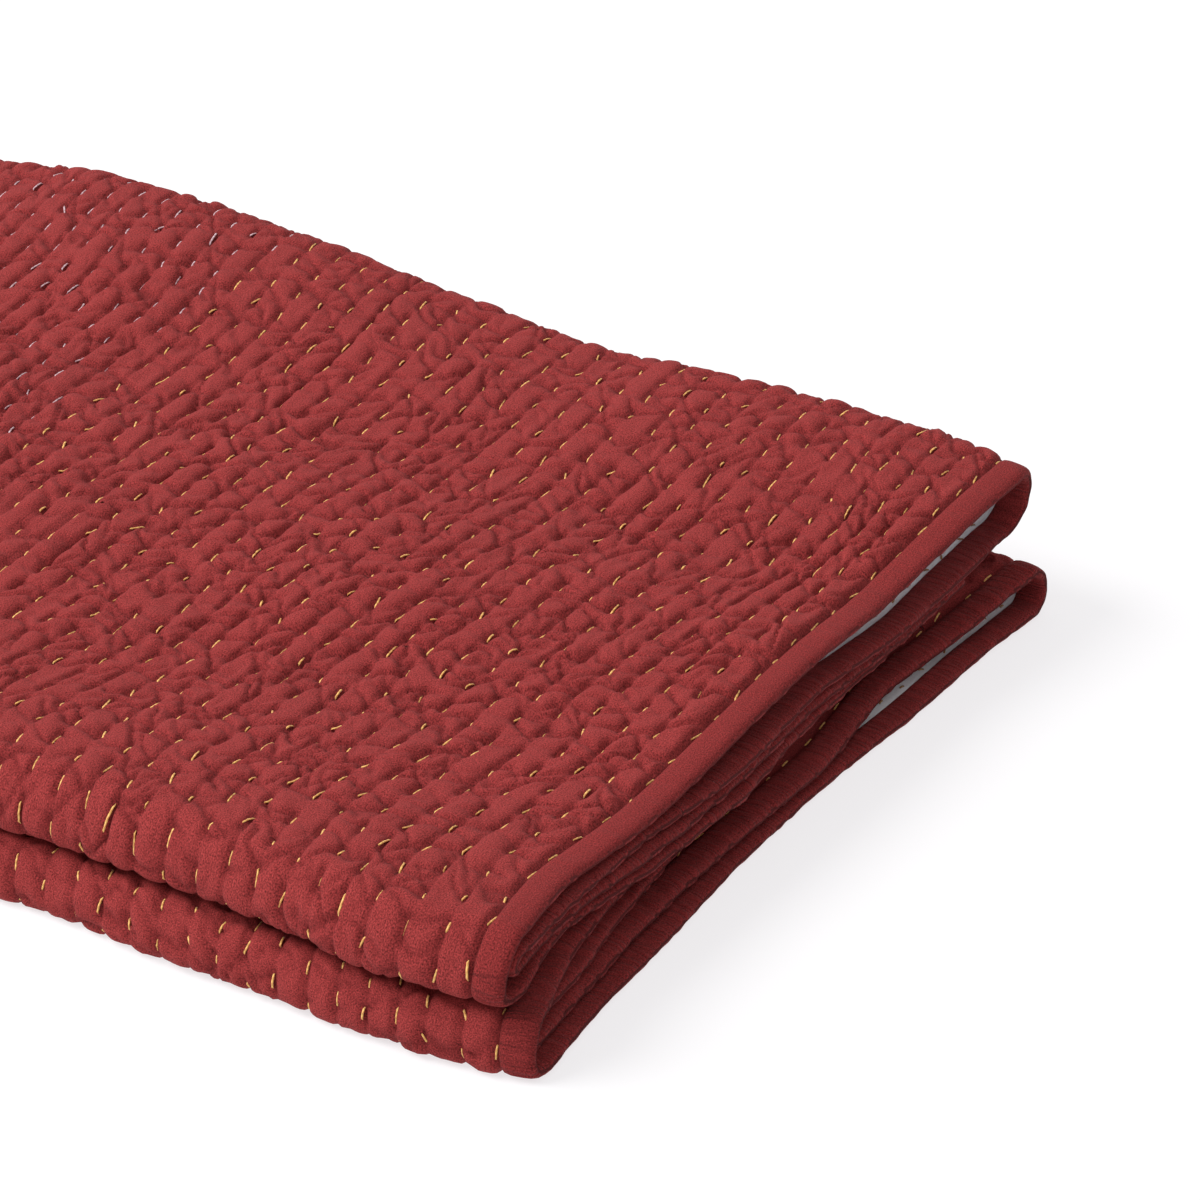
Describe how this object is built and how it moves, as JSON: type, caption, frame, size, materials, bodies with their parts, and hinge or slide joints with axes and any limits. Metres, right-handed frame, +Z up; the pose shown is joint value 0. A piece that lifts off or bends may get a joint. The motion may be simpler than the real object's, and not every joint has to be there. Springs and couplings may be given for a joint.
{
  "type": "folded kantha quilt",
  "caption": "Hand-quilted cotton throw, folded lengthwise and crosswise into a flat stack, with a bound edge.",
  "frame": {"origin": "middle of the stack's footprint, on the surface it lies on", "axes": "+X along the stack towards the hemmed end, +Y from the side with closed folds to the side with open loops, +Z up"},
  "size_m": [0.7832, 0.3652, 0.0732],
  "materials": {
    "quilted_cotton": "matt brick-red cotton with rows of running stitch, white cotton back",
    "binding_cotton": "matt plain brick-red cotton strip"
  },
  "bodies": {
    "root": {"quilt": "quilted_cotton", "binding_hem_top": "binding_cotton", "binding_hem_bottom": "binding_cotton", "binding_edge_first": "binding_cotton", "binding_edge_second": "binding_cotton"}
  },
  "joints": []
}
